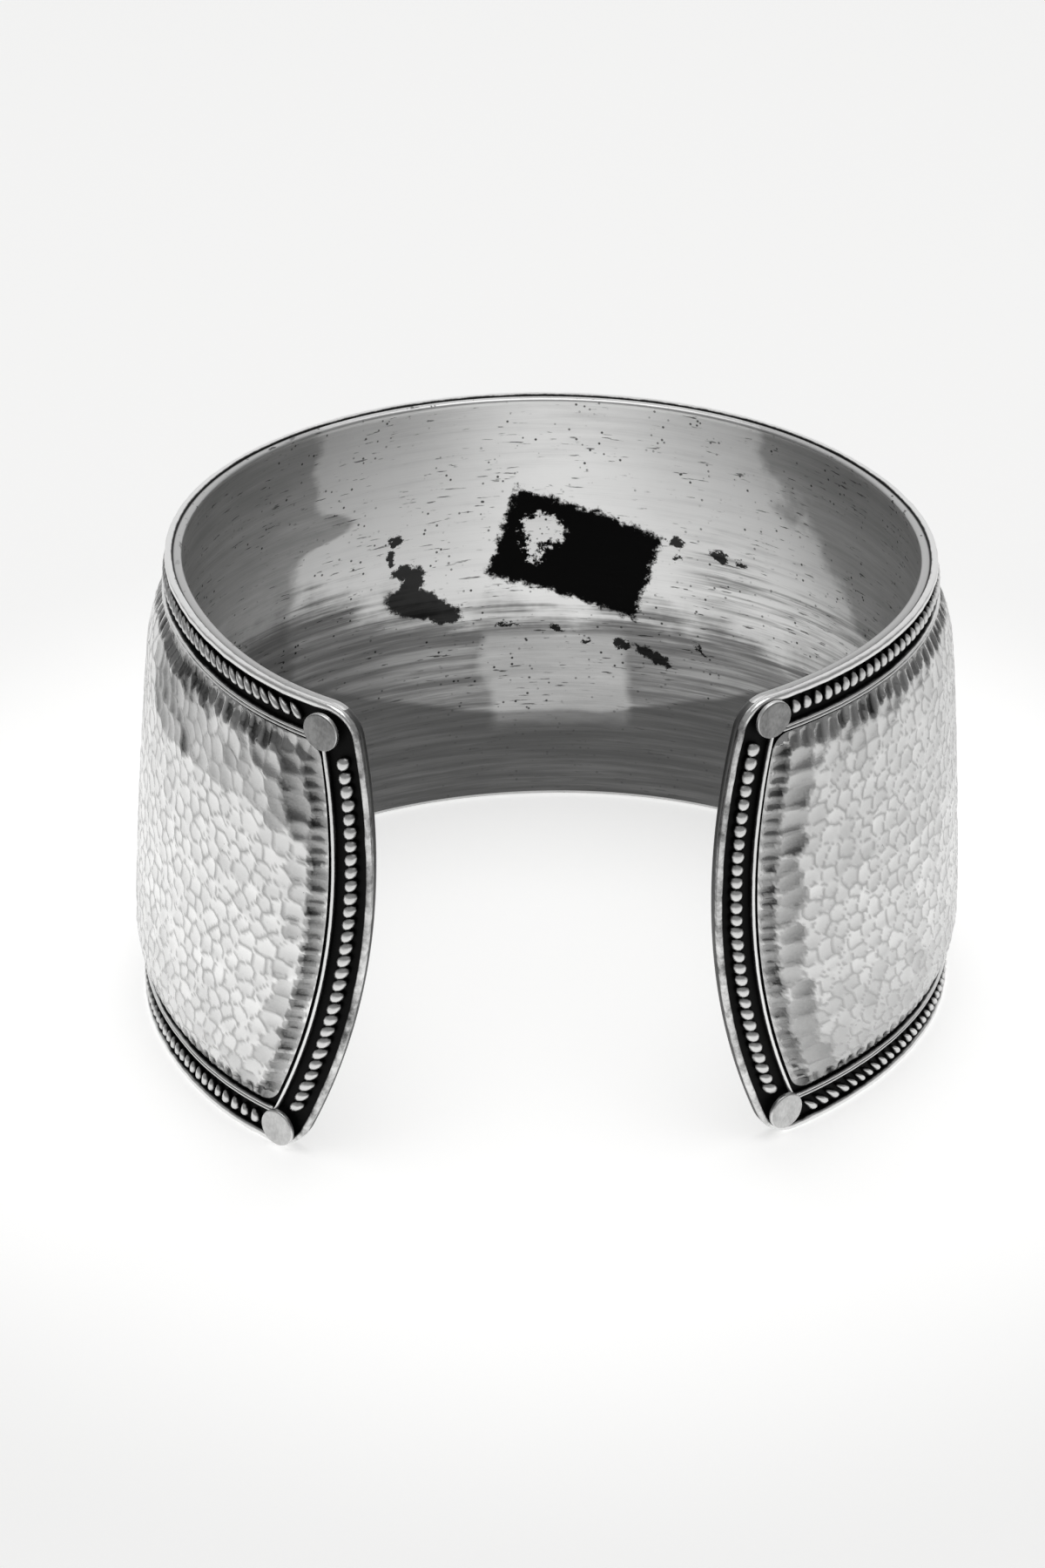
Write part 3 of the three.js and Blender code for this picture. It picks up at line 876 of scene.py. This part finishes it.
# the beading: slanted petals along the rims and rounder, slanted pellets down the ends
beadForm = {
    "pitch": 1.08,
    "rimInset": 1.5,
    "endInset": 1.75,
    "discGap": 0.25,
    "segments": 10,
    "rings": 6,
    "rise": 0.42,
    "seat": 0.22,
    "square": 0.9,
    "rimBead": {"length": 0.4, "width": 0.64, "slant": 0.4, "taper": 0.32, "curl": 0.2},
    "leftBead": {"length": 0.57, "width": 0.62, "slant": 0.34, "taper": 0.1, "curl": 0.08},
    "rightBead": {"length": 0.57, "width": 0.62, "slant": -0.24, "taper": 0.14, "curl": 0.14},
    "sizes": (0.93, 1.04),
    "slants": (0.8, 1.2),
    "turns": (-0.08, 0.08),
    "wear": (0.8, 0.2),     # how worn a bead is by how high, and at its middle
    "seeds": {"upper": 1, "lower": 0, "left": 4, "right": 6},
    "dark": 0.025,
    "bright": 0.72,
}
discForm = {
    "radius": 1.55,
    "under": 0.6,
    "thickness": 0.36,
    "bevel": 0.14,
    "bevelSegments": 3,
    "postRadius": 0.45,
    "postOverlap": 0.1,
    "segments": 48,
    "postSegments": 16,
    "sharpAngle": math.radians(35),
    # each stud's end, whether it is an upper one, and its distances from the end and from the rim
    "places": {
        "upper_left_disc": (-1, True, 2.95, 2.2),
        "upper_right_disc": (1, True, 2.68, 1.7),
        "lower_left_disc": (-1, False, 2.17, 1.78),
        "lower_right_disc": (1, False, 2.04, 2.36),
    },
    "lean": {True: math.radians(6), False: 0.0},     # the upper studs were set leaning back a little
    # painted shade on the upper studs and painted light on the lower ones: each face's darkest and
    # lightest tone
    "shades": {True: (0.17, 0.33), False: (0.46, 0.7)},
    # the tone of the painted highlight round each stud's bevelled edge
    "edgeHighlight": 0.8,
}


def makeBeadFinish():
    finish = Finish("beadSilver", {"Metallic": 1.0, "Roughness": 0.3})
    flat = finish.attribute("flat").output("Vector")
    worn = finish.attribute("worn").output("Fac")
    wear = finish.noise(flat, 2.4, 4.0, 0.6)
    polished = (worn + (wear - 0.5) * 0.5).between(0.35, 0.85)
    finish.set("Base Color", finish.mix(polished, grey(beadForm["dark"]), grey(beadForm["bright"])))
    finish.set("Roughness", 0.5 - polished * 0.2)
    finish.bump(finish.noise(flat, 4.0, 3.0), 0.4, 0.00004)
    return finish.material


beadFinish = makeBeadFinish()


# one bead drawn on the flat strip: a is along its row, b across it and c is the rise
def addBead(bm, form, centre, ahead, chance):
    flat = bm.verts.layers.float_vector.get("flat") or bm.verts.layers.float_vector.new("flat")
    worn = bm.verts.layers.float.get("worn") or bm.verts.layers.float.new("worn")
    made = bmesh.ops.create_uvsphere(
        bm, u_segments=beadForm["segments"], v_segments=beadForm["rings"], radius=1)
    size = chance.uniform(*beadForm["sizes"])
    slant = form["slant"] * chance.uniform(*beadForm["slants"])
    turn = chance.uniform(*beadForm["turns"])
    square = beadForm["square"]
    wearRise, wearMiddle = beadForm["wear"]
    for vert in made["verts"]:
        a, b, c = vert.co
        a = math.copysign(abs(a) ** square, a)
        b = math.copysign(abs(b) ** square, b)
        curl = form["curl"] * b * b
        a *= form["length"] * (1 - form["taper"] * b) * size
        b *= form["width"] * size
        a += slant * b + curl
        a, b = a * math.cos(turn) - b * math.sin(turn), a * math.sin(turn) + b * math.cos(turn)
        x = centre[0] + ahead[0] * a - ahead[1] * b
        y = centre[1] + ahead[1] * a + ahead[0] * b
        offset = beadForm["seat"] + c * beadForm["rise"]
        vert.co = bend(x, y, offset)
        vert[flat] = (flatAlong(x, y), y, offset)
        vert[worn] = min(max(c * wearRise + wearMiddle, 0), 1)


def makeBeadRow(row, name, node, form, first, last, ahead):
    chance = random.Random(beadForm["seeds"][row])
    bm = bmesh.new()
    span = math.hypot(last[0] - first[0], last[1] - first[1])
    count = round(span / beadForm["pitch"])
    for i in range(count + 1):
        share = i / count
        centre = (first[0] + (last[0] - first[0]) * share, first[1] + (last[1] - first[1]) * share)
        addBead(bm, form, centre, ahead, chance)
    finishPiece(bm, name, beadFinish, node)


def makeBeading():
    reach = discForm["radius"] + beadForm["discGap"] + beadForm["pitch"] / 2
    places = discForm["places"]
    for row, top in (("upper", True), ("lower", False)):
        y = cuffHeight - beadForm["rimInset"] if top else beadForm["rimInset"]
        left = -halfStrip + places[row + "_left_disc"][2] + reach
        right = halfStrip - places[row + "_right_disc"][2] - reach
        form = beadForm["rimBead"]
        makeBeadRow(row, row + "Beading", row + "_beading", form, (left, y), (right, y), (1, 0))
    for side, row in ((-1, "left"), (1, "right")):
        x = side * (halfStrip - beadForm["endInset"])
        low = places["lower_" + row + "_disc"][3] + reach
        high = cuffHeight - places["upper_" + row + "_disc"][3] - reach
        form = beadForm[row + "Bead"]
        makeBeadRow(row, row + "EndBeading", row + "_end_beading", form, (x, low), (x, high), (0, 1))


makeBeading()


def makeDiscFinish(name, low, high):
    finish = Finish(name, {"Metallic": 1.0, "Roughness": 0.35})
    place = finish.node("ShaderNodeTexCoord", {}, {}).output("Object")
    cloud = finish.noise(place, 900.0, 4.0, 0.6)
    scratches = finish.noise(finish.stretched(place, (3000, 9000, 3000), 0.5), 1.0, 3.0)
    edge = finish.attribute("worn").output("Fac")
    # the face tone carries the painted shade or painted light of its stud
    face = finish.mix((cloud * 0.7 + scratches * 0.3).between(0.3, 0.7), grey(low), grey(high))
    # a painted highlight round the bevelled edge
    finish.set("Base Color", finish.mix(edge, face, grey(discForm["edgeHighlight"])))
    finish.set("Roughness", 0.3 + cloud * 0.18)
    finish.bump(cloud + scratches * 0.5, 0.3, 0.00004)
    return finish.material


discFinishes = {
    True: makeDiscFinish("shadedStudSilver", *discForm["shades"][True]),
    False: makeDiscFinish("litStudSilver", *discForm["shades"][False]),
}


def makeDisc(form, node):
    side, top, endInset, rimInset = form["places"][node]
    height = cuffHeight - rimInset if top else rimInset
    along = endAlong(side, height, endInset)
    radius = form["radius"]
    ahead = wallPoint(along + radius, height, 0) - wallPoint(along - radius, height, 0)
    up = wallPoint(along, height + radius, 0) - wallPoint(along, height - radius, 0)
    out = up.cross(ahead).normalized()
    ahead.normalize()
    up = out.cross(ahead)
    lean = form["lean"][top]
    out, up = out * math.cos(lean) + up * math.sin(lean), up * math.cos(lean) - out * math.sin(lean)
    bm = bmesh.new()
    under = form["under"]
    middle = under + form["thickness"] / 2
    bmesh.ops.create_cone(
        bm, cap_ends=True, segments=form["segments"], radius1=radius, radius2=radius,
        depth=form["thickness"], matrix=Matrix.Translation((0, 0, middle)))
    ring = [edge for edge in bm.edges if all(vert.co.z > middle for vert in edge.verts)]
    bmesh.ops.bevel(
        bm, geom=ring, offset=form["bevel"], offset_type="OFFSET", segments=form["bevelSegments"],
        profile=0.5, affect="EDGES", material=-1)
    bmesh.ops.create_cone(
        bm, cap_ends=True, segments=form["postSegments"], radius1=form["postRadius"],
        radius2=form["postRadius"], depth=under + form["postOverlap"],
        matrix=Matrix.Translation((0, 0, under / 2)))
    worn = bm.verts.layers.float.new("worn")
    # the bevelled edge carries the painted highlight
    for vert in bm.verts:
        vert[worn] = 1 if math.hypot(vert.co.x, vert.co.y) > radius - form["bevel"] / 2 else 0
    turn = Matrix((ahead, up, out)).transposed().to_4x4()
    place = Matrix.Translation(wallPoint(along, height, 0)) @ turn @ Matrix.Scale(mm, 4)
    bmesh.ops.transform(bm, matrix=place, verts=bm.verts)
    name = "".join(part.capitalize() for part in node.split("_"))
    piece = finishPiece(bm, name[0].lower() + name[1:], discFinishes[top], node)
    piece.data.set_sharp_from_angle(angle=form["sharpAngle"])


for node in discForm["places"]:
    makeDisc(discForm, node)

# the floor and the light
stageForm = {
    "floorSize": 6.0,
    "floorShade": 0.93,
    "glow": (0.56, 0.34),   # the floor glows, a painted light that lifts the shadow round and inside the cuff, most near the middle
    "glowReach": (0.035, 0.085),
    "world": 0.26,
    "lights": (     # name, place, what it faces, width and height, power
        ("overhead", (0.0, 0.0, 0.62), (0, 0, 0), (0.52, 0.52), 1.25),
        ("backdrop", (0.0, 1.2, 0.55), (0, 0, 0.05), (2.6, 1.1), 5.2),
    ),
}


def makeStage(form):
    bm = bmesh.new()
    bmesh.ops.create_grid(bm, x_segments=1, y_segments=1, size=form["floorSize"] / 2)
    mesh = bpy.data.meshes.new("floor")
    bm.to_mesh(mesh)
    bm.free()
    floor = bpy.data.objects.new("floor", mesh)
    scene.collection.objects.link(floor)
    shade = grey(form["floorShade"])
    finish = Finish("paleFloor", {"Roughness": 0.7, "Base Color": shade, "Emission Strength": 1.0})
    place = finish.node("ShaderNodeTexCoord", {}, {}).output("Object")
    away = finish.node("ShaderNodeVectorMath", {"operation": "LENGTH"}, {0: place}).output("Value")
    near, far = form["glow"]
    # painted light: the floor glows most near the middle
    finish.set("Emission Color", finish.mix(away.between(*form["glowReach"]), grey(near), grey(far)))
    mesh.materials.append(finish.material)
    world = bpy.data.worlds.new("studio")
    world.use_nodes = True
    world.node_tree.nodes["Background"].inputs["Strength"].default_value = form["world"]
    world.node_tree.nodes["Background"].inputs["Color"].default_value = (1, 1, 1, 1)
    scene.world = world
    for name, place, target, size, power in form["lights"]:
        data = bpy.data.lights.new(name, "AREA")
        data.shape = "RECTANGLE"
        data.size, data.size_y = size
        data.energy = power
        light = bpy.data.objects.new(name, data)
        light.location = place
        light.rotation_euler = (Vector(target) - Vector(place)).to_track_quat("-Z", "Y").to_euler()
        scene.collection.objects.link(light)
    scene.view_settings.view_transform = "Standard"


makeStage(stageForm)
print("stage set")
